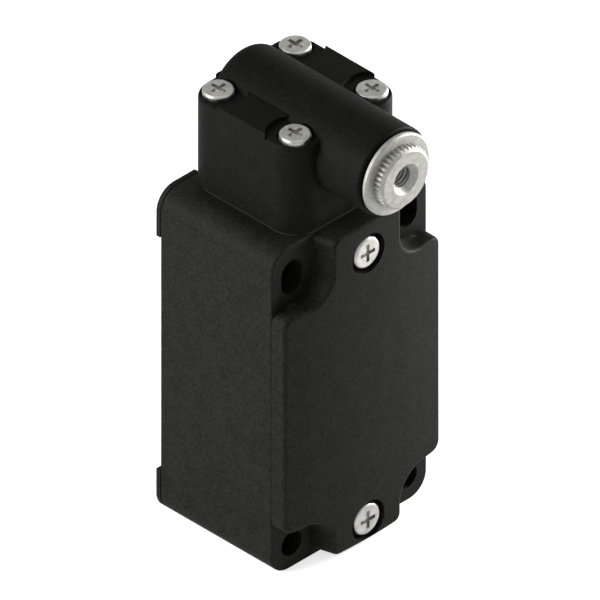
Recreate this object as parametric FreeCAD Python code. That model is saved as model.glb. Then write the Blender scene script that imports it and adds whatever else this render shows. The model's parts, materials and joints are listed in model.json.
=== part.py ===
import FreeCAD, Part
import math
import os

# Position switch with a revolving-shaft head, shown without its lever.
# Millimetres. Z is up, and the front, with the cover and the shaft's end, faces -Y.
# The origin is the centre of the conduit entry, in the bottom face.

# Housing base
base_depth = 29.0
conduit_to_rear = 12.45
base_corner_radius = 4.5
base_edge_round = 0.4
pad_height = 1.0
pad_size = 10.0
pad_inner_radius = 4.0
rear_wall = 2.6
side_wall = 2.6
cavity_bottom = 14.0
cavity_roof = 14.3
cavity_corner_radius = 2.0

# Fixing holes: two round ones below, two upright slots above
fixing_spacing_x = 30.0
fixing_spacing_z = 60.0
fixing_bottom = 5.5
fixing_to_side = 5.25
fixing_to_top = 7.0
fixing_radius = 2.65
slot_length = 7.3

# Conduit entry
conduit_radius = 9.2
conduit_thread_length = 11.0
conduit_stop_width = 1.2

# Front cover, crowned about an upright axis and notched round the fixing holes
cover_edge_thickness = 3.4
cover_crown = 1.7
cover_bottom = 1.3
tab_to_fixing = 5.0
notch_draft_degrees = 16.0
notch_bottom_margin = 5.5
notch_top_margin = 6.1
notch_radius = 6.0
notch_edge_round = 2.2
cover_tab_round = 1.7
cover_edge_round = 0.8
cover_wall = 1.8
cover_screw_bottom = 5.7
cover_screw_top_drop = 6.7
cover_recess_radius = 4.2
cover_recess_depth = 2.3
seal_land = 0.15
seal_width = 1.2
seal_depth = 1.0

# Head
head_forward = 2.5
head_size = 28.6
head_corner_radius = 5.5
head_edge_round = 0.9
head_gasket = 0.8
gasket_inset = 0.5
shoulder_drop = 2.95
screw_land_radius = 5.6
screw_land_depth = 0.85
shaft_height = 14.1
arch_radius = 9.0
arch_rear_round = 2.4
boss_reach = 11.0
boss_edge_round = 0.5
chamber_half_width = 7.6
chamber_radius = 7.5
chamber_front = 8.0
chamber_rear = 8.0
head_screw_spacing = 20.0
spot_radius = 3.5
spot_depth = 1.45

# Screws
head_screw_radius = 1.6
head_screw_head_radius = 3.05
head_screw_head_height = 1.65
head_screw_engagement = 6.5
cover_screw_radius = 1.6
cover_screw_head_radius = 3.35
cover_screw_head_height = 2.1
cover_screw_engagement = 5.0
block_screw_radius = 1.25
block_screw_head_radius = 2.3
block_screw_head_height = 1.8
block_screw_engagement = 4.0
terminal_screw_radius = 1.5
terminal_screw_head_radius = 2.7
terminal_screw_head_height = 2.1
terminal_screw_engagement = 5.0
screw_tip = 0.5

# Revolving shaft
journal_radius = 5.0
spindle_radius = 2.8
rear_journal_length = 3.4
running_clearance = 0.05
rim_radius = 8.35
rim_thickness = 1.2
rim_gap = 0.3
hub_radius = 6.4
hub_length = 2.1
hub_chamfer = 0.7
tooth_count = 40
tooth_depth = 0.4
lever_hole_radius = 2.1
lever_hole_depth = 11.0
lever_countersink = 1.1
bush_wall = 1.3
shaft_seal_width = 1.5
shaft_seal_gap = 0.06
seal_recess = 0.2
clip_thickness = 0.9
clip_radius = 6.4
clip_groove_depth = 0.7
clip_opening = 3.6
clip_gap = 0.1

# Cam and the travel that it gives
swing_degrees = 75.0
travel = 1.5
cam_rest_support = 5.4
cam_margin_degrees = 6.0
cam_width = 5.0
cam_hub_radius = 3.6
cam_hub_front = 2.9
cam_hub_rear = 1.5
cam_pin_radius = 0.75

# All springs' wire is drawn with this many flat sides
wire_sides = 6

# Torsion spring on the shaft
return_wire = 0.9
return_coil_radius = 4.6
return_gap = 0.1
return_turns = 3.0

# Tappet, its guide and its spring
tappet_radius = 2.4
tappet_head_radius = 3.8
tappet_head_thickness = 1.8
guide_radius = 4.6
guide_flange_radius = 6.0
guide_flange_seat = 1.0
guide_flange_rise = 1.5
guide_length = 9.5
tappet_seal_length = 1.2
tappet_exit_clearance = 0.6
tappet_wire = 0.6
tappet_coil_clearance = 0.45
tappet_turns = 4.0
spring_end_gap = 0.1

# Contact block
block_side_gap = 2.9
block_front = 7.5
block_rear_gap = 3.0
block_top_gap = 0.4
block_top_wall = 2.8
block_bottom_wall = 1.8
block_round = 0.6
pocket_to_side = 5.9
pocket_rear = 1.5
pocket_margin = 0.4
carrier_spring_space = 2.5
boss_support_radius = 3.0
block_screw_to_side = 2.9
block_screw_rise = 11.9
lid_thickness = 1.5
lid_side_gap = 0.2
lid_overlap = 1.3

# Contacts and their carrier
strip = 0.8
strip_width = 4.0
strip_clearance = 0.05
contact_split = 3.2
rivet_height = 0.5
rivet_radius = 1.2
rivet_offset = 6.6
contact_gap_margin = 0.05
bridge_half_length = 7.8
tongue_tip = 4.6
tongue_to_side = 1.3
terminal_plate_width = 3.8
terminal_plate_height = 8.0
terminal_rise = 6.4
clamp_size = 5.2
clamp_thickness = 0.9
carrier_half = 3.0
carrier_window_spring = 2.6
carrier_cap = 1.5
carrier_stem_radius = 2.0
carrier_foot_radius = 1.6
carrier_foot_length = 5.5
carrier_rise = 2.4
bridge_wire = 0.4
bridge_coil_radius = 1.3
bridge_turns = 3.0
carrier_wire = 0.45
carrier_coil_clearance = 0.35
carrier_turns = 3.0

# Cross recess in the screw heads
recess_width = 0.8
recess_depth = 0.75
recess_share = 0.56
head_round_share = 0.35

# Places that follow from the sizes above
base_width = fixing_spacing_x + 2 * fixing_to_side
base_height = fixing_bottom + fixing_spacing_z + fixing_to_top
rear_y = conduit_to_rear
front_y = rear_y - base_depth
pad_y = rear_y + pad_height
cavity_rear_y = rear_y - rear_wall
cavity_half_width = base_width / 2 - side_wall
cavity_top = base_height - cavity_roof
cover_edge_y = front_y - cover_edge_thickness
crown_y = cover_edge_y - cover_crown
fixing_x = fixing_spacing_x / 2
fixing_top = fixing_bottom + fixing_spacing_z
cover_tab_half = fixing_x - tab_to_fixing
cover_screw_top = base_height - cover_screw_top_drop
head_y = -head_forward
head_half = head_size / 2
head_bottom = base_height + head_gasket
shaft_z = head_bottom + shaft_height
shoulder_z = shaft_z + arch_radius - shoulder_drop
land_z = shoulder_z - screw_land_depth
spot_z = shoulder_z - spot_depth
head_rear_y = head_y + head_half
head_front_y = head_y - head_half
boss_y = head_front_y - boss_reach
screw_step = head_screw_spacing / 2
chamber_front_y = head_y - chamber_front
chamber_rear_y = head_y + chamber_rear
rim_back_y = boss_y - rim_gap
rim_front_y = rim_back_y - rim_thickness
hub_front_y = rim_front_y - hub_length
bush_radius = journal_radius + running_clearance + bush_wall
seal_back_y = boss_y + shaft_seal_width
cam_ratio = travel / math.radians(swing_degrees)
cam_front_y = head_y - cam_width / 2
cam_rear_y = head_y + cam_width / 2
tappet_top = shaft_z - cam_rest_support
guide_top = base_height + guide_flange_rise
guide_bottom = base_height - guide_flange_seat - guide_length
tappet_seal_bottom = guide_bottom - tappet_seal_length
block_half_width = cavity_half_width - block_side_gap
pocket_half_width = block_half_width - pocket_to_side
lid_half_width = pocket_half_width - lid_side_gap
fixing_column = block_half_width - block_screw_to_side
tongue_root = block_half_width - tongue_to_side
leg_inner = tongue_root - terminal_plate_width
terminal_column = (leg_inner + tongue_root) / 2
block_front_y = -block_front
block_rear_y = cavity_rear_y - block_rear_gap
block_top = cavity_top - block_top_gap
contact_gap = travel + contact_gap_margin
bridge_level = contact_split / 2 + strip + 2 * rivet_height + contact_gap
carrier_level = bridge_level + strip + carrier_window_spring + carrier_cap
pocket_top_level = carrier_level + travel + pocket_margin
pocket_bottom_level = carrier_level + travel + carrier_spring_space
block_mid = block_top - block_top_wall - pocket_top_level
block_bottom = block_mid - pocket_bottom_level - block_bottom_wall
carrier_top = cavity_top + carrier_rise


def vec(x, y, z):
    return FreeCAD.Vector(x, y, z)


def block(x, y, z):
    """A box between three pairs of limits."""
    low = vec(min(x), min(y), min(z))
    return Part.makeBox(max(x) - low.x, max(y) - low.y, max(z) - low.z, low)


def rod_y(radius, x, z, y_from, y_to):
    """A cylinder along Y."""
    return Part.makeCylinder(radius, abs(y_to - y_from), vec(x, min(y_from, y_to), z), vec(0, 1, 0))


def rod_z(radius, x, y, z_from, z_to):
    """A cylinder along Z."""
    return Part.makeCylinder(radius, abs(z_to - z_from), vec(x, y, min(z_from, z_to)), vec(0, 0, 1))


def cone_y(radius_from, radius_to, x, z, y_from, y_to):
    """A cone along Y whose radius changes from one end to the other."""
    step = 1 if y_to > y_from else -1
    return Part.makeCone(radius_from, radius_to, abs(y_to - y_from), vec(x, y_from, z), vec(0, step, 0))


def is_along(edge, axis):
    """Whether a straight edge runs along one of the axes."""
    if not isinstance(edge.Curve, Part.Line):
        return False
    return abs(abs(edge.tangentAt(edge.FirstParameter).dot(axis)) - 1) < 1e-6


def rounded_along(shape, axis, radius):
    """Round every straight edge of a shape that runs along an axis."""
    return shape.makeFillet(radius, [e for e in shape.Edges if is_along(e, axis)])


def front_plate(x, z, y, radius):
    """A plate facing the front with four rounded corners."""
    return rounded_along(block(x, y, z), vec(0, 1, 0), radius)


def joined(shapes):
    """One solid, or one group of solids, from several shapes."""
    result = shapes[0].multiFuse(shapes[1:]) if len(shapes) > 1 else shapes[0]
    return result.removeSplitter()


def coil(radius, wire, pitch, turns):
    """A wire wound into a helix along +Z, starting at the origin's plane. Its section has few sides, for few faces."""
    helix = Part.makeHelix(pitch, pitch * turns, radius)
    corners = []
    for index in range(wire_sides):
        angle = 2 * math.pi * (index + 0.5) / wire_sides
        corners.append(vec(radius + wire / 2 * math.cos(angle), 0, wire / 2 * math.sin(angle)))
    section = Part.makePolygon(corners + corners[:1])
    return Part.Wire(helix.Edges).makePipeShell([section], True, True)


def on_axis_y(shape, x, y, z):
    """Turn a shape that was made along +Z so that it lies along +Y from a point."""
    turned = shape.copy()
    turned.rotate(vec(0, 0, 0), vec(1, 0, 0), -90)
    turned.translate(vec(x, y, z))
    return turned


def screw(shank_radius, length, head_radius, head_height, rounded=True):
    """A cross-recess screw along +Z: its head stands above the seat at the origin."""
    head = Part.makeCylinder(head_radius, head_height)
    top = [e for e in head.Edges if isinstance(e.Curve, Part.Circle) and e.Curve.Center.z > head_height / 2]
    ease = head_height * head_round_share
    head = head.makeFillet(ease, top) if rounded else head.makeChamfer(ease / 2, top)
    shank = Part.makeCylinder(shank_radius, length - screw_tip, vec(0, 0, screw_tip - length))
    tip = Part.makeCone(shank_radius - screw_tip, shank_radius, screw_tip, vec(0, 0, -length))
    half = head_radius * recess_share
    floor = head_height - recess_depth
    slot = block((-half, half), (-recess_width / 2, recess_width / 2), (floor, head_height + 1))
    cross = slot.fuse(block((-recess_width / 2, recess_width / 2), (-half, half), (floor, head_height + 1)))
    return joined([head, shank, tip]).cut(cross)


def placed(shape, turn_axis, degrees, place):
    """A copy of a shape, turned about the origin and then moved."""
    copy = shape.copy()
    copy.rotate(vec(0, 0, 0), turn_axis, degrees)
    copy.translate(place)
    return copy


# Housing base

def base_outline(y):
    """The housing's front outline between two depths."""
    half = base_width / 2
    return front_plate((-half, half), (0, base_height), y, base_corner_radius)


def corner_places():
    """The four fixing points, with the way towards each corner."""
    return [(sx * fixing_x, z, sx, sz)
            for sx in (-1, 1) for z, sz in ((fixing_bottom, -1), (fixing_top, 1))]


def fixing_holes():
    """The two round holes and the two upright slots, right through the base and cover."""
    y = (pad_y + 1, crown_y - 1)
    stretch = (slot_length - 2 * fixing_radius) / 2
    holes = []
    for x, z, sx, sz in corner_places():
        if sz < 0:
            holes.append(rod_y(fixing_radius, x, z, *y))
            continue
        ends = [rod_y(fixing_radius, x, z + step, *y) for step in (-stretch, stretch)]
        middle = block((x - fixing_radius, x + fixing_radius), y, (z - stretch, z + stretch))
        holes.append(joined(ends + [middle]))
    return holes


def rear_pads():
    """Four low pads round the fixing holes, which rest on the mounting surface."""
    pads = []
    outline = base_outline((rear_y, pad_y))
    half = base_width / 2
    for x, z, sx, sz in corner_places():
        edge_z = 0 if sz < 0 else base_height
        inner_x = sx * (half - pad_size)
        inner_z = edge_z - sz * pad_size
        patch = block((inner_x, sx * half), (rear_y, pad_y), (inner_z, edge_z))
        inner = [e for e in patch.Edges if is_along(e, vec(0, 1, 0))
                 and abs(e.Vertexes[0].Point.x - inner_x) < 1e-6
                 and abs(e.Vertexes[0].Point.z - inner_z) < 1e-6]
        pads.append(patch.makeFillet(pad_inner_radius, inner).common(outline))
    return pads


def make_base_housing():
    body = base_outline((front_y, rear_y))
    rims = [e for e in body.Edges if abs(e.BoundBox.YMin - e.BoundBox.YMax) < 1e-6]
    body = body.makeFillet(base_edge_round, rims)
    body = joined([body] + rear_pads())
    cavity = front_plate((-cavity_half_width, cavity_half_width), (cavity_bottom, cavity_top),
                         (front_y - 1, cavity_rear_y), cavity_corner_radius)
    cuts = [cavity] + fixing_holes()
    cuts.append(rod_z(conduit_radius, 0, 0, -1, conduit_thread_length))
    cuts.append(rod_z(conduit_radius - conduit_stop_width, 0, 0, 0, cavity_bottom + 1))
    cuts.append(rod_z(guide_flange_radius, 0, head_y, base_height - guide_flange_seat, base_height + 1))
    cuts.append(rod_z(guide_radius, 0, head_y, tappet_seal_bottom, base_height))
    cuts.append(rod_z(tappet_radius + tappet_exit_clearance, 0, head_y, cavity_top - 1, base_height))
    for x, y in head_screw_places():
        cuts.append(rod_z(head_screw_radius, x, y, base_height - head_screw_engagement, base_height + 1))
    for z in (cover_screw_bottom, cover_screw_top):
        cuts.append(rod_y(cover_screw_radius, 0, z, front_y - 1, front_y + cover_screw_engagement))
    body = body.cut(cuts)
    bosses = [rod_y(boss_support_radius, x, z, cavity_rear_y + rear_wall / 2, block_rear_y)
              for x, z in block_corner_places()]
    body = joined([body] + bosses)
    return body.cut([rod_y(block_screw_radius, x, z, block_rear_y - 1, block_rear_y + block_screw_engagement)
                     for x, z in block_screw_places()])


# Front cover

def tab_half(y):
    """Half the width of the cover's middle tabs, which narrow towards the front."""
    return cover_tab_half - (front_y - y) * math.tan(math.radians(notch_draft_degrees))


def notch_outline(x, z, sx, sz):
    """Four corners of a notch with the inner one rounded; the signs point to the cover's own corner."""
    def outline(y):
        tab_x = sx * tab_half(y)
        share = notch_radius * (1 - math.cos(math.radians(45)))
        down = vec(tab_x, y, z + sz * notch_radius)
        bend = vec(tab_x + sx * share, y, z + sz * share)
        out = vec(tab_x + sx * notch_radius, y, z)
        far_z = z + sz * base_height
        ring = [out, vec(x, y, z), vec(x, y, far_z), vec(tab_x, y, far_z), down]
        sides = [Part.makeLine(a, b) for a, b in zip(ring, ring[1:])]
        return Part.Wire([Part.Arc(down, bend, out).toShape()] + sides)
    return outline


def cover_notches():
    """The four corner pieces that the cover leaves free round the fixing points."""
    notches = []
    for x, z, sx, sz in corner_places():
        ledge_z = z + notch_bottom_margin if sz < 0 else z - notch_top_margin
        outline = notch_outline(sx * base_width, ledge_z, sx, sz)
        notches.append(Part.makeLoft([outline(front_y + 1), outline(crown_y - 1)], True, True))
    return notches


def corners_rounded(slab, radius, x, heights):
    """Round the slab's edges that run from back to front at given heights, between two distances from the middle."""
    wanted = []
    for edge in slab.Edges:
        ends = [vertex.Point for vertex in edge.Vertexes]
        if len(ends) < 2 or abs(ends[0].y - ends[1].y) < cover_edge_thickness / 2:
            continue
        beside = all(x[0] - 1e-3 < abs(end.x) < x[1] + 1e-3 for end in ends)
        if beside and any(all(abs(end.z - z) < 1e-6 for end in ends) for z in heights):
            wanted.append(edge)
    return slab.makeFillet(radius, wanted)


def crowned_slab():
    """The cover's full width and height, with its front bowed out in an arc."""
    half = base_width / 2
    left = vec(-half, cover_edge_y, cover_bottom)
    right = vec(half, cover_edge_y, cover_bottom)
    bow = Part.Arc(left, vec(0, crown_y, cover_bottom), right).toShape()
    back_right = vec(half, front_y, cover_bottom)
    back_left = vec(-half, front_y, cover_bottom)
    sides = [Part.makeLine(right, back_right), Part.makeLine(back_right, back_left),
             Part.makeLine(back_left, left)]
    section = Part.Face(Part.Wire([bow] + sides))
    return section.extrude(vec(0, 0, base_height - cover_bottom))


def seal_ring(grow_inner, grow_outer, y):
    """A frame-shaped ring that runs round the cavity's mouth."""
    def frame(grow):
        half = cavity_half_width + grow
        return front_plate((-half, half), (cavity_bottom - grow, cavity_top + grow), y,
                           cavity_corner_radius + grow)
    return frame(grow_outer).cut(frame(grow_inner))


def make_cover_gasket():
    return seal_ring(seal_land, seal_land + seal_width, (front_y, front_y - seal_depth))


def cover_screw_seat():
    """The depth at which the cover screws' heads sit."""
    return crown_y + cover_recess_depth


def make_front_cover():
    slab = crowned_slab().cut(cover_notches())
    ledges = (fixing_bottom + notch_bottom_margin, fixing_top - notch_top_margin)
    slab = corners_rounded(slab, notch_edge_round, (base_width / 2, base_width / 2), ledges)
    slab = corners_rounded(slab, cover_tab_round, (tab_half(crown_y), cover_tab_half), (cover_bottom, base_height))
    front = [e for e in slab.Edges if e.BoundBox.YMax < front_y - cover_edge_thickness / 2
             and not is_along(e, vec(0, 1, 0))]
    slab = slab.makeFillet(cover_edge_round, front)
    inner_y = cover_edge_y + cover_wall
    pocket = front_plate((-cavity_half_width, cavity_half_width), (cavity_bottom, cavity_top),
                         (front_y + 1, inner_y), cavity_corner_radius)
    cuts = [pocket, seal_ring(seal_land, seal_land + seal_width, (front_y + 1, front_y - seal_depth))]
    for z in (cover_screw_bottom, cover_screw_top):
        cuts.append(rod_y(cover_recess_radius, 0, z, crown_y - 1, cover_screw_seat()))
        cuts.append(rod_y(cover_screw_radius, 0, z, crown_y, front_y + 1))
    return slab.cut(cuts)


def make_cover_screws():
    length = cover_screw_engagement + front_y - cover_screw_seat()
    one = screw(cover_screw_radius, length, cover_screw_head_radius, cover_screw_head_height)
    turn = vec(1, 0, 0)
    return Part.makeCompound([placed(one, turn, 90, vec(0, cover_screw_seat(), z))
                              for z in (cover_screw_bottom, cover_screw_top)])


# Head

def head_screw_places():
    return [(sx * screw_step, head_y + sy * screw_step) for sx in (-1, 1) for sy in (-1, 1)]


def head_block(inset, z):
    """The head's rounded square between two heights."""
    half = head_half - inset
    square = block((-half, half), (head_y - half, head_y + half), z)
    return rounded_along(square, vec(0, 0, 1), head_corner_radius - inset)


def make_head_gasket():
    plate = head_block(gasket_inset, (base_height, head_bottom))
    holes = [rod_z(head_screw_radius, x, y, base_height - 1, head_bottom + 1) for x, y in head_screw_places()]
    holes.append(rod_z(guide_flange_radius, 0, head_y, base_height - 1, head_bottom + 1))
    return plate.cut(holes)


def make_head_housing():
    square = top_rounded(head_block(0, (head_bottom, land_z)), head_edge_round)
    shoulders = top_rounded(head_block(0, (land_z - head_edge_round, shoulder_z)), head_edge_round)
    shoulders = shoulders.cut([rod_z(screw_land_radius, x, y, land_z - 1, shoulder_z + 1)
                               for x, y in head_screw_places()])
    arch = rod_y(arch_radius, 0, shaft_z, boss_y, head_rear_y)
    for radius, y in ((arch_rear_round, head_rear_y), (boss_edge_round, boss_y)):
        end = [e for e in arch.Edges if isinstance(e.Curve, Part.Circle) and abs(e.Curve.Center.y - y) < 1e-3]
        arch = arch.makeFillet(radius, end)
    body = joined([square, shoulders, arch])
    cuts = [rod_z(spot_radius, x, y, spot_z, shoulder_z + arch_radius) for x, y in head_screw_places()]
    cuts += [rod_z(head_screw_radius, x, y, head_bottom - 1, spot_z + 1) for x, y in head_screw_places()]
    cuts.append(block((-chamber_half_width, chamber_half_width), (chamber_front_y, chamber_rear_y),
                      (head_bottom - 1, shaft_z)))
    cuts.append(rod_y(chamber_radius, 0, shaft_z, chamber_front_y, chamber_rear_y))
    cuts.append(rod_y(bush_radius, 0, shaft_z, boss_y - 1, chamber_front_y + 1))
    rear_end = chamber_rear_y + rear_journal_length
    cuts.append(rod_y(spindle_radius + running_clearance, 0, shaft_z, chamber_rear_y - 1, rear_end))
    return body.cut(cuts)


def top_rounded(plate, radius):
    """Round the edges of a plate's top face."""
    top = plate.BoundBox.ZMax
    return plate.makeFillet(radius, [e for e in plate.Edges if e.BoundBox.ZMin > top - 1e-3])


def make_head_screws():
    length = spot_z - base_height + head_screw_engagement
    one = screw(head_screw_radius, length, head_screw_head_radius, head_screw_head_height)
    return Part.makeCompound([placed(one, vec(0, 0, 1), 0, vec(x, y, spot_z)) for x, y in head_screw_places()])


# Revolving shaft and what it carries

def make_shaft_bush():
    outer = rod_y(bush_radius, 0, shaft_z, seal_back_y, chamber_front_y)
    return outer.cut(rod_y(journal_radius + running_clearance, 0, shaft_z, seal_back_y - 1, chamber_front_y + 1))


def make_shaft_seal():
    """A ring seal whose lip, towards the front, is cut back at a slope."""
    ring = rod_y(bush_radius, 0, shaft_z, boss_y + seal_recess, seal_back_y)
    ring = ring.cut(rod_y(journal_radius + shaft_seal_gap, 0, shaft_z, boss_y - 1, seal_back_y + 1))
    slope = cone_y(bush_radius - seal_recess, journal_radius, 0, shaft_z, boss_y + seal_recess, seal_back_y)
    return ring.cut(slope)


def clip_front_y():
    return chamber_front_y + clip_gap


def shoulder_y():
    """Where the shaft steps down to carry the cam."""
    return cam_front_y - cam_hub_front


def serrated_hub():
    """The hub that grips the lever: straight teeth all round, with a chamfered nose."""
    hub = rod_y(hub_radius, 0, shaft_z, hub_front_y, rim_front_y)
    root = hub_radius - tooth_depth
    half = math.pi / tooth_count
    grooves = []
    for index in range(tooth_count):
        angle = 2 * half * index
        corners = []
        for turn, radius in ((-half, hub_radius * 1.05), (0, root), (half, hub_radius * 1.05)):
            corners.append(vec(radius * math.cos(angle + turn), hub_front_y - 1,
                               shaft_z + radius * math.sin(angle + turn)))
        face = Part.Face(Part.makePolygon(corners + corners[:1]))
        grooves.append(face.extrude(vec(0, hub_length + 1, 0)))
    toothed = hub.cut(grooves)
    nose = cone_y(hub_radius - hub_chamfer, hub_radius, 0, shaft_z, hub_front_y, hub_front_y + hub_chamfer)
    rest = rod_y(hub_radius, 0, shaft_z, hub_front_y + hub_chamfer, rim_front_y)
    return toothed.common(nose.fuse(rest))


def make_shaft():
    rim = rod_y(rim_radius, 0, shaft_z, rim_front_y, rim_back_y)
    edges = [e for e in rim.Edges if isinstance(e.Curve, Part.Circle)]
    rim = rim.makeChamfer(rim_thickness / 4, edges)
    journal = rod_y(journal_radius, 0, shaft_z, rim_back_y - rim_thickness / 2, shoulder_y())
    spindle = rod_y(spindle_radius, 0, shaft_z, shoulder_y() - 1, chamber_rear_y + rear_journal_length - clip_gap)
    shaft = joined([rim, serrated_hub(), journal, spindle])
    groove = rod_y(journal_radius + 1, 0, shaft_z, clip_front_y(), clip_front_y() + clip_thickness)
    groove = groove.cut(rod_y(journal_radius - clip_groove_depth, 0, shaft_z, clip_front_y() - 1,
                              clip_front_y() + clip_thickness + 1))
    hole = rod_y(lever_hole_radius, 0, shaft_z, hub_front_y - 1, hub_front_y + lever_hole_depth)
    sink = cone_y(lever_hole_radius + lever_countersink, lever_hole_radius, 0, shaft_z,
                  hub_front_y, hub_front_y + lever_countersink)
    return shaft.cut([groove, hole, sink, cam_pin_rod(cam_pin_radius)])


def make_shaft_clip():
    """A spring clip in the shaft's groove, open at one side."""
    y = (clip_front_y(), clip_front_y() + clip_thickness)
    ring = rod_y(clip_radius, 0, shaft_z, *y)
    ring = ring.cut(rod_y(journal_radius - clip_groove_depth, 0, shaft_z, y[0] - 1, y[1] + 1))
    gap = block((-clip_opening / 2, clip_opening / 2), (y[0] - 1, y[1] + 1),
                (shaft_z, shaft_z + clip_radius + 1))
    return ring.cut(gap)


def cam_point(degrees):
    """A point of the cam whose support grows evenly with the angle from straight down."""
    angle = math.radians(degrees)
    support = cam_rest_support + cam_ratio * angle
    normal = vec(math.sin(angle), 0, -math.cos(angle))
    along = vec(math.cos(angle), 0, math.sin(angle))
    return normal * support + along * cam_ratio


def make_cam():
    reach = swing_degrees + cam_margin_degrees
    steps = 12
    points = [cam_point(-reach + 2 * reach * index / steps) for index in range(steps + 1)]
    lobe = Part.BSplineCurve()
    lobe.interpolate(points)
    first, last = points[0], points[-1]
    middle = (first + last) * 0.5
    span = (last - first).Length / 2
    over = vec(first.z - last.z, 0, last.x - first.x).normalize()
    back = Part.Arc(last, middle + over * span, first).toShape()
    section = Part.Face(Part.Wire([lobe.toShape(), back]))
    section.translate(vec(0, cam_front_y, shaft_z))
    lobe_solid = section.extrude(vec(0, cam_width, 0))
    hub = rod_y(cam_hub_radius, 0, shaft_z, shoulder_y(), cam_rear_y + cam_hub_rear)
    cam = joined([lobe_solid, hub])
    bore = rod_y(spindle_radius, 0, shaft_z, shoulder_y() - 1, cam_rear_y + cam_hub_rear + 1)
    return cam.cut([bore, cam_pin_rod(cam_pin_radius)])


def cam_pin_rod(radius):
    """The cross pin's cylinder, upright through the cam's front hub."""
    pin_y = (shoulder_y() + cam_front_y) / 2
    return rod_z(radius, 0, pin_y, shaft_z - cam_hub_radius, shaft_z + cam_hub_radius)


def make_cam_pin():
    pin_y = (shoulder_y() + cam_front_y) / 2
    trim = rod_y(cam_hub_radius, 0, shaft_z, pin_y - cam_pin_radius - 1, pin_y + cam_pin_radius + 1)
    return cam_pin_rod(cam_pin_radius).common(trim)


def make_return_spring():
    seat_y = cam_rear_y + cam_hub_rear + return_gap
    pitch = (chamber_rear_y - return_gap - return_wire - seat_y) / return_turns
    return on_axis_y(coil(return_coil_radius, return_wire, pitch, return_turns), 0,
                     seat_y + return_wire / 2, shaft_z)


# Tappet

def make_tappet():
    stem = rod_z(tappet_radius, 0, head_y, carrier_top, tappet_top - tappet_head_thickness)
    head = rod_z(tappet_head_radius, 0, head_y, tappet_top - tappet_head_thickness, tappet_top)
    return joined([stem, head])


def make_tappet_guide():
    flange = rod_z(guide_flange_radius, 0, head_y, base_height - guide_flange_seat, guide_top)
    sleeve = rod_z(guide_radius, 0, head_y, guide_bottom, base_height - guide_flange_seat)
    bore = rod_z(tappet_radius + running_clearance, 0, head_y, guide_bottom - 1, guide_top + 1)
    return joined([flange, sleeve]).cut(bore)


def make_tappet_seal():
    ring = rod_z(guide_radius, 0, head_y, tappet_seal_bottom, guide_bottom)
    return ring.cut(rod_z(tappet_radius + shaft_seal_gap, 0, head_y, tappet_seal_bottom - 1, guide_bottom + 1))


def upright_spring(radius, wire, turns, z_from, z_to, x, y):
    """A compression spring that fills the height between its two seats."""
    height = z_to - z_from - wire - 2 * spring_end_gap
    spring = coil(radius, wire, height / turns, turns)
    spring.translate(vec(x, y, z_from + wire / 2 + spring_end_gap))
    return spring


def make_tappet_spring():
    radius = tappet_radius + tappet_coil_clearance + tappet_wire / 2
    return upright_spring(radius, tappet_wire, tappet_turns, guide_top,
                          tappet_top - tappet_head_thickness, 0, head_y)


# Contact block

def block_corner_places():
    return [(sx * fixing_column, block_mid + sz * block_screw_rise) for sx in (-1, 1) for sz in (-1, 1)]


def block_screw_places():
    """The block is held at two opposite corners."""
    return [(-fixing_column, block_mid + block_screw_rise), (fixing_column, block_mid - block_screw_rise)]


def terminal_places():
    return [(sx * terminal_column, block_mid + sz * terminal_rise, sx, sz) for sx in (-1, 1) for sz in (-1, 1)]


def strip_levels(sz):
    """The lower and upper face of a fixed contact's strip, above or below the block's middle."""
    near = block_mid + sz * contact_split / 2
    return (near, near + sz * strip)


def make_contact_block():
    body = block((-block_half_width, block_half_width), (block_front_y, block_rear_y), (block_bottom, block_top))
    body = rounded_along(body, vec(0, 1, 0), block_round)
    cuts = [block((-pocket_half_width, pocket_half_width), (block_front_y - 1, pocket_rear),
                  (block_mid - pocket_bottom_level, block_mid + pocket_top_level))]
    for sx in (-1, 1):
        for sz in (-1, 1):
            near, far = strip_levels(sz)
            cuts.append(block((sx * (pocket_half_width - 1), sx * (tongue_root + strip_clearance)),
                              (block_front_y - 1, head_y + strip_width / 2 + strip_clearance),
                              (near - sz * strip_clearance, far + sz * strip_clearance)))
    cuts.append(rod_z(carrier_stem_radius + running_clearance, 0, head_y, block_mid, block_top + 1))
    cuts.append(rod_z(carrier_foot_radius + running_clearance, 0, head_y, block_bottom - 1, block_mid))
    for x, z in block_screw_places():
        cuts.append(rod_y(block_screw_radius, x, z, block_front_y - 1, block_rear_y + 1))
    for x, z, sx, sz in terminal_places():
        cuts.append(rod_y(terminal_screw_radius, x, z, block_front_y - 1,
                          block_front_y + terminal_screw_engagement))
    return body.cut(cuts)


def make_contact_lid():
    return front_plate((-lid_half_width, lid_half_width),
                       (block_mid - pocket_bottom_level - lid_overlap, block_mid + pocket_top_level + lid_overlap),
                       (block_front_y - lid_thickness, block_front_y), block_round)


def make_block_screws():
    length = block_rear_y - block_front_y + block_screw_engagement
    one = screw(block_screw_radius, length, block_screw_head_radius, block_screw_head_height, False)
    return Part.makeCompound([placed(one, vec(1, 0, 0), 90, vec(x, block_front_y, z))
                              for x, z in block_screw_places()])


def fixed_contact(x, z, sx, sz):
    """A bent strip: a tongue with a rivet inside the block and a terminal plate on its front."""
    near, far = strip_levels(sz)
    half = strip_width / 2
    tongue = block((sx * tongue_tip, sx * tongue_root), (head_y - half, head_y + half), (near, far))
    leg = block((sx * leg_inner, sx * tongue_root), (block_front_y - strip, head_y), (near, far))
    plate = block((sx * leg_inner, sx * tongue_root), (block_front_y - strip, block_front_y),
                  (near, near + sz * terminal_plate_height))
    rivet = rod_z(rivet_radius, sx * rivet_offset, head_y, near, far + sz * rivet_height)
    hole = rod_y(terminal_screw_radius, x, z, block_front_y - strip - 1, block_front_y + 1)
    return joined([tongue, leg, plate, rivet]).cut(hole)


def make_fixed_contacts():
    return Part.makeCompound([fixed_contact(*place) for place in terminal_places()])


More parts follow.
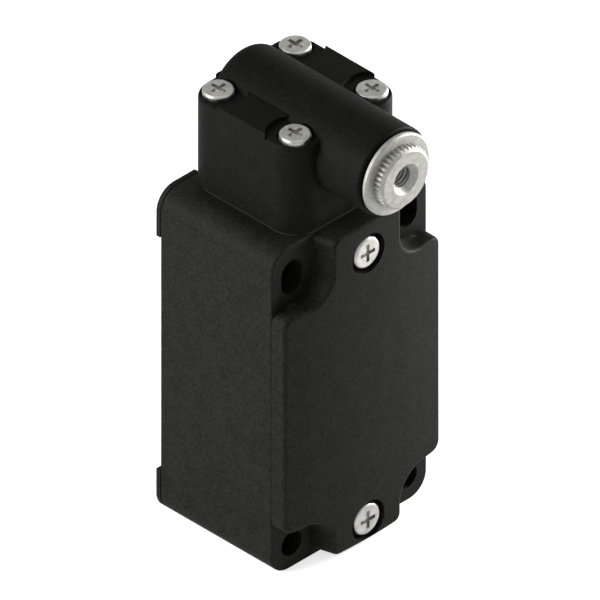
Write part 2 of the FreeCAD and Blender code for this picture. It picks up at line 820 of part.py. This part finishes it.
def make_clamp_plates():
    plates = []
    back_y = block_front_y - strip
    for x, z, sx, sz in terminal_places():
        half = clamp_size / 2
        plate = block((x - half, x + half), (back_y - clamp_thickness, back_y), (z - half, z + half))
        hole = rod_y(terminal_screw_radius, x, z, back_y - clamp_thickness - 1, back_y + 1)
        plates.append(plate.cut(hole))
    return Part.makeCompound(plates)


def make_terminal_screws():
    seat_y = block_front_y - strip - clamp_thickness
    length = block_front_y + terminal_screw_engagement - seat_y
    one = screw(terminal_screw_radius, length, terminal_screw_head_radius, terminal_screw_head_height, False)
    return Part.makeCompound([placed(one, vec(1, 0, 0), 90, vec(x, seat_y, z))
                              for x, z, sx, sz in terminal_places()])


# Contact carrier and its bridges

def bridge_faces(sz):
    """The two faces of a contact bridge: the one towards its fixed contacts, then the other."""
    near = block_mid + sz * bridge_level
    return (near, near + sz * strip)


def contact_bridge(sz):
    near, far = bridge_faces(sz)
    half = strip_width / 2
    bar = block((-bridge_half_length, bridge_half_length), (head_y - half, head_y + half), (near, far))
    rivets = [rod_z(rivet_radius, sx * rivet_offset, head_y, near - sz * rivet_height, near) for sx in (-1, 1)]
    return joined([bar] + rivets)


def make_contact_carrier():
    level = carrier_level
    body = block((-carrier_half, carrier_half), (head_y - carrier_half, head_y + carrier_half),
                 (block_mid - level, block_mid + level))
    half = strip_width / 2 + strip_clearance
    windows = []
    for sz in (-1, 1):
        near, far = bridge_faces(sz)
        windows.append(block((-carrier_half - 1, carrier_half + 1), (head_y - half, head_y + half),
                             (near, far + sz * carrier_window_spring)))
    stem = rod_z(carrier_stem_radius, 0, head_y, block_mid + level, carrier_top)
    foot = rod_z(carrier_foot_radius, 0, head_y, block_mid - level,
                 block_mid - level - carrier_foot_length)
    return joined([body.cut(windows), stem, foot])


def bridge_spring(sz):
    near, far = bridge_faces(sz)
    other = far + sz * carrier_window_spring
    return upright_spring(bridge_coil_radius, bridge_wire, bridge_turns, min(far, other), max(far, other), 0, head_y)


def make_bridge_springs():
    return Part.makeCompound([bridge_spring(sz) for sz in (-1, 1)])


def make_carrier_spring():
    radius = carrier_foot_radius + carrier_coil_clearance + carrier_wire / 2
    return upright_spring(radius, carrier_wire, carrier_turns, block_mid - pocket_bottom_level,
                          block_mid - carrier_level, 0, head_y)


parts = {
    "base_housing": make_base_housing,
    "front_cover": make_front_cover,
    "cover_gasket": make_cover_gasket,
    "cover_screws": make_cover_screws,
    "head_housing": make_head_housing,
    "head_gasket": make_head_gasket,
    "head_screws": make_head_screws,
    "shaft": make_shaft,
    "shaft_bush": make_shaft_bush,
    "shaft_seal": make_shaft_seal,
    "shaft_clip": make_shaft_clip,
    "cam": make_cam,
    "cam_pin": make_cam_pin,
    "return_spring": make_return_spring,
    "tappet": make_tappet,
    "tappet_guide": make_tappet_guide,
    "tappet_seal": make_tappet_seal,
    "tappet_spring": make_tappet_spring,
    "contact_block": make_contact_block,
    "contact_lid": make_contact_lid,
    "block_screws": make_block_screws,
    "fixed_contacts": make_fixed_contacts,
    "clamp_plates": make_clamp_plates,
    "terminal_screws": make_terminal_screws,
    "contact_carrier": make_contact_carrier,
    "upper_bridge": lambda: contact_bridge(1),
    "lower_bridge": lambda: contact_bridge(-1),
    "bridge_springs": make_bridge_springs,
    "carrier_spring": make_carrier_spring,
}

os.makedirs("parts", exist_ok=True)
for name, make in parts.items():
    shape = make()
    solids = len(shape.Solids)
    print(name, "solids", solids, "valid", shape.isValid(), "volume", round(shape.Volume, 2))
    shape.exportStep("parts/" + name + ".step")
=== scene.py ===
"""Position switch with a revolving-shaft head: materials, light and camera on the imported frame."""
import json
import math

import bpy
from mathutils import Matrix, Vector


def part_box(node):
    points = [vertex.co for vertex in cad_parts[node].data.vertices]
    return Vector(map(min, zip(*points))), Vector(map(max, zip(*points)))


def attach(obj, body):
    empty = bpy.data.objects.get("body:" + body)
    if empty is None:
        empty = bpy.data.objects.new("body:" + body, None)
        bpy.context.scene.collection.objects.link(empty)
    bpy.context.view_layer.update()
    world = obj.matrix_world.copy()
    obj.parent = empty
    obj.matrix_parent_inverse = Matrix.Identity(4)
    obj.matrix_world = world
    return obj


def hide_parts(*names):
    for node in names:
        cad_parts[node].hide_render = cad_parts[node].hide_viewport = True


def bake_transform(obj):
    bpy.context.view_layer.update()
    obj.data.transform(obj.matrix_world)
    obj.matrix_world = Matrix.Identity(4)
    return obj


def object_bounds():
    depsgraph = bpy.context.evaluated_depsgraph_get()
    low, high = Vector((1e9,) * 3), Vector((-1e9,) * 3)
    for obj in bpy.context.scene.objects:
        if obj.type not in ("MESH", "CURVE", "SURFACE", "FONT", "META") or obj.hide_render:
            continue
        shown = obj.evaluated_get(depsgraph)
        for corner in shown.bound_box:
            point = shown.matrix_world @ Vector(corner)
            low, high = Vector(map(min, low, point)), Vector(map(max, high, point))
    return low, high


MM = 0.001
WHITE = (1.0, 1.0, 1.0, 1.0)

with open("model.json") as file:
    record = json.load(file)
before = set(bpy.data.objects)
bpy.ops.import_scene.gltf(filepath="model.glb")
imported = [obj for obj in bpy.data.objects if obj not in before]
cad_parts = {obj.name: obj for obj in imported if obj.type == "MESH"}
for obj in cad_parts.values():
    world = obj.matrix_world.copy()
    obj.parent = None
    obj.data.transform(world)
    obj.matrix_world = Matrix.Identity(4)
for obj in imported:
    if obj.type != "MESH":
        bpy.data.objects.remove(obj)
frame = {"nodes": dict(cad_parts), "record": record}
cad_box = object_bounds()


# Places read from the frame

def middle(node):
    """The middle of the node's box."""
    low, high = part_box(node)
    return (low + high) / 2


shaft_axis = middle("shaft")
shaft_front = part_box("shaft")[0].y
floor_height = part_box("base_housing")[0].z


# Material helpers

def new_material(name, colour, roughness, metallic=0.0, specular=0.5):
    """A material with one shader whose plain values are set on its own sockets."""
    material = bpy.data.materials.new(name)
    material.use_nodes = True
    tree = material.node_tree
    shader = tree.nodes["Principled BSDF"]
    shader.inputs["Base Color"].default_value = (*colour, 1.0)
    shader.inputs["Roughness"].default_value = roughness
    shader.inputs["Metallic"].default_value = metallic
    shader.inputs["Specular IOR Level"].default_value = specular
    return material, tree, shader


def object_place(tree):
    """Coordinates in metres, in the row's frame."""
    return tree.nodes.new("ShaderNodeTexCoord").outputs["Object"]


def stretched(tree, place, scale):
    """Coordinates scaled differently along each axis, for streaks."""
    mapping = tree.nodes.new("ShaderNodeMapping")
    mapping.inputs["Scale"].default_value = scale
    tree.links.new(place, mapping.inputs["Vector"])
    return mapping.outputs["Vector"]


def noise(tree, place, size, detail):
    """A noise whose marks are about the given size across."""
    texture = tree.nodes.new("ShaderNodeTexNoise")
    texture.inputs["Scale"].default_value = 1.0 / size
    texture.inputs["Detail"].default_value = detail
    tree.links.new(place, texture.inputs["Vector"])
    return texture.outputs["Fac"]


def maths(tree, operation, first, second=0.0):
    """The result of one operation on one or two values, either of which may be a socket."""
    node = tree.nodes.new("ShaderNodeMath")
    node.operation = operation
    for socket, value in zip(node.inputs, (first, second)):
        if isinstance(value, (int, float)):
            socket.default_value = value
        else:
            tree.links.new(value, socket)
    return node.outputs[0]


def between(tree, factor, low, high, start=0.3, end=0.7):
    """A value that runs from low to high as the factor goes from start to end."""
    node = tree.nodes.new("ShaderNodeMapRange")
    node.inputs["From Min"].default_value = start
    node.inputs["From Max"].default_value = end
    node.inputs["To Min"].default_value = low
    node.inputs["To Max"].default_value = high
    tree.links.new(factor, node.inputs["Value"])
    return node.outputs["Result"]


def shade(colour, amount):
    """The colour made darker or lighter by a factor."""
    return tuple(min(1.0, part * amount) for part in colour)


def tinted(tree, shader, factor, low, high, start=0.3, end=0.7):
    """Gives the shader a colour that runs from low to high as the factor goes from start to end."""
    node = tree.nodes.new("ShaderNodeValToRGB")
    first, last = node.color_ramp.elements
    first.position, first.color = start, (*low, 1.0)
    last.position, last.color = end, (*high, 1.0)
    tree.links.new(factor, node.inputs["Fac"])
    tree.links.new(node.outputs["Color"], shader.inputs["Base Color"])


def glossed(tree, shader, factor, low, high):
    """Gives the shader a roughness that runs from low to high with the factor."""
    tree.links.new(between(tree, factor, low, high), shader.inputs["Roughness"])


def bumped(tree, shader, height, distance):
    """Gives the shader's surface a relief of the given depth."""
    bump = tree.nodes.new("ShaderNodeBump")
    bump.inputs["Strength"].default_value = 1.0
    bump.inputs["Distance"].default_value = distance
    tree.links.new(height, bump.inputs["Height"])
    tree.links.new(bump.outputs["Normal"], shader.inputs["Normal"])


# Materials

def moulded(name, colour, roughness, specular, mottle):
    """Moulded plastic: a spark-eroded grain, a cloudy mottle and uneven gloss."""
    grain, relief = 0.5 * MM, 0.03 * MM
    fine_share, gloss_spread = 0.75, 0.07
    material, tree, shader = new_material(name, colour, roughness, specular=specular)
    place = object_place(tree)
    fine = noise(tree, place, grain, 3.0)
    cloudy = noise(tree, place, grain * 7, 4.0)
    mixed = maths(tree, "ADD", maths(tree, "MULTIPLY", fine, fine_share),
                  maths(tree, "MULTIPLY", cloudy, 1 - fine_share))
    tinted(tree, shader, mixed, shade(colour, 1 - mottle), shade(colour, 1 + mottle), 0.38, 0.62)
    glossed(tree, shader, mixed, roughness - gloss_spread, roughness + gloss_spread)
    bumped(tree, shader, fine, relief)
    return material


def plated(name, colour, roughness):
    """Plated metal: a satin, slightly blotchy skin with small pits."""
    blotch, pit, relief = 1.5 * MM, 0.5 * MM / 3, 0.006 * MM
    material, tree, shader = new_material(name, colour, roughness, metallic=1.0)
    place = object_place(tree)
    cloudy = noise(tree, place, blotch, 4.0)
    fine = noise(tree, place, pit, 2.0)
    tinted(tree, shader, cloudy, shade(colour, 0.82), shade(colour, 1.12), 0.35, 0.65)
    glossed(tree, shader, cloudy, roughness - 0.08, roughness + 0.1)
    bumped(tree, shader, fine, relief)
    return material


def turned(name, colour, roughness, centre):
    """Metal turned on a lathe about an axis along Y: fine rings, with a blotchy satin between them."""
    ring, blotch, relief = 0.12 * MM, 1.3 * MM, 0.008 * MM
    material, tree, shader = new_material(name, colour, roughness, metallic=1.0)
    place = object_place(tree)
    apart = tree.nodes.new("ShaderNodeSeparateXYZ")
    tree.links.new(place, apart.inputs["Vector"])
    across = maths(tree, "SUBTRACT", apart.outputs["X"], centre.x)
    upward = maths(tree, "SUBTRACT", apart.outputs["Z"], centre.z)
    squares = maths(tree, "ADD", maths(tree, "POWER", across, 2.0), maths(tree, "POWER", upward, 2.0))
    along = tree.nodes.new("ShaderNodeCombineXYZ")
    tree.links.new(maths(tree, "SQRT", squares), along.inputs["X"])
    tree.links.new(apart.outputs["Y"], along.inputs["Y"])
    rings = noise(tree, along.outputs["Vector"], ring, 3.0)
    cloudy = noise(tree, place, blotch, 3.0)
    tinted(tree, shader, cloudy, shade(colour, 0.86), shade(colour, 1.1), 0.35, 0.65)
    glossed(tree, shader, rings, roughness - 0.06, roughness + 0.1)
    bumped(tree, shader, rings, relief)
    return material


def drawn_wire(name, colour, roughness):
    """Spring wire: bright, with long faint drawing marks."""
    mark, streak = 0.4 * MM, (1.0, 1.0, 5.0)
    material, tree, shader = new_material(name, colour, roughness, metallic=1.0)
    marks = noise(tree, stretched(tree, object_place(tree), streak), mark, 3.0)
    tinted(tree, shader, marks, shade(colour, 0.8), shade(colour, 1.15))
    glossed(tree, shader, marks, roughness - 0.08, roughness + 0.12)
    return material


def soft_rubber(name, colour, roughness, specular):
    """Seal rubber: dull, with a fine dusty grain."""
    grain, relief, gloss_spread = 0.25 * MM, 0.01 * MM, 0.1
    material, tree, shader = new_material(name, colour, roughness, specular=specular)
    dust = noise(tree, object_place(tree), grain, 4.0)
    tinted(tree, shader, dust, shade(colour, 0.7), shade(colour, 1.6))
    glossed(tree, shader, dust, roughness - gloss_spread, roughness + gloss_spread)
    bumped(tree, shader, dust, relief)
    return material


# For each plastic: colour, roughness, specular level and mottle
plastics = {
    "black_plastic": ((0.0155, 0.0155, 0.0143), 0.55, 0.06, 0.4),
    "black_cover": ((0.0155, 0.0155, 0.0143), 0.5, 0.05, 0.4),
    "black_head": ((0.0075, 0.0075, 0.0069), 0.55, 0.05, 0.4),
    "tappet_plastic": ((0.78, 0.77, 0.72), 0.35, 0.5, 0.04),
    "guide_plastic": ((0.08, 0.08, 0.082), 0.45, 0.5, 0.15),
    "block_plastic": ((0.52, 0.5, 0.43), 0.45, 0.5, 0.06),
    "lid_plastic": ((0.12, 0.125, 0.13), 0.4, 0.5, 0.1),
    "carrier_plastic": ((0.42, 0.04, 0.03), 0.4, 0.5, 0.08),
}
# For each metal: colour and roughness
plated_metals = {
    "zinc_steel": ((0.5, 0.5, 0.465), 0.38),
    "cam_metal": ((0.5, 0.5, 0.49), 0.45),
    "contact_metal": ((0.72, 0.55, 0.28), 0.28),
    "bridge_metal": ((0.76, 0.6, 0.34), 0.25),
}
turned_metals = {
    "shaft_metal": ((0.40, 0.40, 0.37), 0.6),
    "bush_bronze": ((0.62, 0.42, 0.2), 0.35),
}

materials = {name: moulded(name, *look) for name, look in plastics.items()}
materials.update({name: plated(name, *look) for name, look in plated_metals.items()})
materials.update({name: turned(name, *look, shaft_axis) for name, look in turned_metals.items()})
materials["seal_rubber"] = soft_rubber("seal_rubber", (0.012, 0.012, 0.012), 0.75, 0.3)
materials["spring_steel"] = drawn_wire("spring_steel", (0.55, 0.55, 0.54), 0.28)

for entry in frame["record"]["subparts"]:
    node = frame["nodes"][entry["node"]]
    node.data.materials.clear()
    node.data.materials.append(materials[entry["material_slot"]])


# Springs between the housing below and a sliding body above, copied from their nodes, which are hidden


def flexing(node):
    """A copy of the node's own spring, baked in place, with the node itself hidden."""
    piece = bpy.data.objects.new(node + "_flexing", frame["nodes"][node].data.copy())
    bpy.context.scene.collection.objects.link(piece)
    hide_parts(node)
    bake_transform(piece)


flexing("tappet_spring")
flexing("carrier_spring")


# Threads, drawn as raised turns on the wall of a hole

turn_steps = 48            # steps round one turn
foot_depth = 0.02 * MM     # how far the ridge's foot lies behind the wall
foot_share = 0.42          # half the ridge's width at its foot, as a share of the pitch
crest_share = 0.08         # half its width at the crest
run_out = 0.5              # turns in which it rises from the wall at each end
least_rise = 0.02          # the share of its height that it starts with


def thread_turns(name, start, axis, radius, pitch, length, rise, body, slot):
    """A screw thread inside a round hole: one helical ridge whose crest stands inwards."""
    steps = int(turn_steps * length / pitch)
    toward = Vector(axis).normalized()
    side = toward.orthogonal().normalized()
    other = toward.cross(side)
    foot = radius + foot_depth
    vertices, faces = [], []
    for index in range(steps + 1):
        angle = 2 * math.pi * index / turn_steps
        out = side * math.cos(angle) + other * math.sin(angle)
        ends = min(1.0, index / turn_steps / run_out, (steps - index) / turn_steps / run_out)
        centre = Vector(start) + toward * (pitch * index / turn_steps)
        crest = radius - rise * max(ends, least_rise)
        for inward, lift in ((foot, -foot_share), (crest, -crest_share),
                             (crest, crest_share), (foot, foot_share)):
            vertices.append(centre + out * inward + toward * (pitch * lift))
    for index in range(steps):
        first = index * 4
        for corner in range(4):
            following = (corner + 1) % 4
            faces.append((first + corner, first + following, first + 4 + following, first + 4 + corner))
    last = steps * 4
    faces.append((3, 2, 1, 0))
    faces.append((last, last + 1, last + 2, last + 3))
    mesh = bpy.data.meshes.new(name)
    mesh.from_pydata([v.to_tuple() for v in vertices], [], faces)
    mesh.update()
    piece = bpy.data.objects.new(name, mesh)
    bpy.context.scene.collection.objects.link(piece)
    mesh.materials.append(materials[slot])
    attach(piece, body)


mounts = {mount["name"]: mount for mount in frame["record"]["mounts"]}

# The cable entry's M20 x 1.5 thread, clear of both ends of its hole by one pitch
conduit = mounts["conduit_entry"]
conduit_pitch, conduit_rise = 1.5 * MM, 0.45 * MM
conduit_length = conduit["dims"]["length_mm"] * MM
conduit_start = Vector(conduit["pos_m"]) + Vector((0, 0, conduit_pitch))
thread_turns("conduit_thread", conduit_start, (0, 0, 1), conduit["dims"]["r_mm"] * MM, conduit_pitch,
             conduit_length - 2 * conduit_pitch, conduit_rise, "housing", "black_plastic")

# The lever hole's M5 thread, which starts a little way behind the shaft's front end
lever = mounts["lever_hole"]
lever_pitch, lever_rise, lever_inset = 0.8 * MM, 0.22 * MM, 1.5 * MM
lever_length = lever["dims"]["length_mm"] * MM
lever_start = Vector((lever["pos_m"][0], shaft_front + lever_inset, lever["pos_m"][2]))
thread_turns("lever_thread", lever_start, (0, 1, 0), lever["dims"]["r_mm"] * MM, lever_pitch,
             lever_length - 2 * lever_pitch, lever_rise, "shaft", "shaft_metal")


# Floor and light

floor_size = 6.0
floor_seen, floor_mirrored = 0.72, 0.34  # the floor's own glow where it is seen and where it is mirrored
world_ambient = 0.13                     # the world's strength as a light
world_ceiling = 0.62                     # its strength overhead, where it is mirrored

# For each lamp: place, size and power in watts
lamps = {
    "right_lamp": ((0.27, -0.1, 0.11), (0.12, 0.12), 1.5),
    "left_lamp": ((-0.6, 0.25, 0.3), (0.4, 0.5), 5.2),
    "top_lamp": ((-0.1, -0.25, 0.8), (0.6, 0.6), 0.7),
}


def seen(tree, ray):
    """One for rays from the camera, straight or through something clear."""
    return maths(tree, "MAXIMUM", ray.outputs["Is Camera Ray"], ray.outputs["Is Transmission Ray"])


def floor():
    """A pale floor that shows white, keeps the object's shadow and is dimmer where it is mirrored."""
    bpy.ops.mesh.primitive_plane_add(size=floor_size, location=(0, 0, floor_height))
    plane = bpy.context.object
    plane.name = "floor"
    material, tree, shader = new_material("floor_paper", (0.8, 0.8, 0.8), 0.9, specular=0.0)
    paper = noise(tree, object_place(tree), 4 * MM, 3.0)
    tinted(tree, shader, paper, (0.79, 0.79, 0.79), (0.81, 0.81, 0.81))
    ray = tree.nodes.new("ShaderNodeLightPath")
    lift = tree.nodes.new("ShaderNodeEmission")
    lift.inputs["Color"].default_value = WHITE
    shown = maths(tree, "MAXIMUM", maths(tree, "MULTIPLY", seen(tree, ray), floor_seen),
                  maths(tree, "MULTIPLY", ray.outputs["Is Glossy Ray"], floor_mirrored))
    tree.links.new(shown, lift.inputs["Strength"])
    both = tree.nodes.new("ShaderNodeAddShader")
    tree.links.new(shader.outputs["BSDF"], both.inputs[0])
    tree.links.new(lift.outputs["Emission"], both.inputs[1])
    tree.links.new(both.outputs["Shader"], tree.nodes["Material Output"].inputs["Surface"])
    plane.data.materials.append(material)


def world_light():
    """A plain world: white where it is seen, dimmer overhead in reflections, and soft as a light."""
    world = bpy.data.worlds.new("studio")
    bpy.context.scene.world = world
    world.use_nodes = True
    tree = world.node_tree
    background = tree.nodes["Background"]
    background.inputs["Color"].default_value = WHITE
    direction = tree.nodes.new("ShaderNodeTexCoord").outputs["Generated"]
    apart = tree.nodes.new("ShaderNodeSeparateXYZ")
    tree.links.new(direction, apart.inputs["Vector"])
    ray = tree.nodes.new("ShaderNodeLightPath")
    height = between(tree, apart.outputs["Z"], 1.0, world_ceiling, 0.05, 0.45)
    mirrored = maths(tree, "MULTIPLY", height, ray.outputs["Is Glossy Ray"])
    lit = maths(tree, "MULTIPLY", ray.outputs["Is Diffuse Ray"], world_ambient)
    strength = maths(tree, "MAXIMUM", maths(tree, "MAXIMUM", mirrored, seen(tree, ray)), lit)
    tree.links.new(strength, background.inputs["Strength"])


def softbox(name, target, place, size, power):
    """A rectangular area lamp that faces a point."""
    lamp = bpy.data.lights.new(name, "AREA")
    lamp.shape = "RECTANGLE"
    lamp.size, lamp.size_y = size
    lamp.energy = power
    box = bpy.data.objects.new(name, lamp)
    bpy.context.scene.collection.objects.link(box)
    box.location = place
    box.rotation_mode = "QUATERNION"
    box.rotation_quaternion = (Vector(target) - Vector(place)).to_track_quat("-Z", "Y")


floor()
world_light()
for name, look in lamps.items():
    softbox(name, (cad_box[0] + cad_box[1]) / 2, *look)


# Camera: the photograph is a true isometric view

photo_azimuth, photo_elevation = math.radians(-45.0), math.asin(math.tan(math.radians(30.0)))
photo_width = 110.5 * MM
photo_target = Vector((0.0, -3.74 * MM, 46.4 * MM))
photo_distance = 0.6
back = Vector((math.sin(photo_azimuth) * math.cos(photo_elevation),
               -math.cos(photo_azimuth) * math.cos(photo_elevation), math.sin(photo_elevation)))
camera = bpy.data.cameras.new("photo_camera")
camera.type = "ORTHO"
camera.ortho_scale = photo_width
viewer = bpy.data.objects.new("photo_camera", camera)
bpy.context.scene.collection.objects.link(viewer)
viewer.rotation_mode = "QUATERNION"
viewer.location = photo_target + back * photo_distance
viewer.rotation_quaternion = (-back).to_track_quat("-Z", "Y")
bpy.context.scene.camera = viewer
bpy.context.scene.view_settings.view_transform = "Standard"
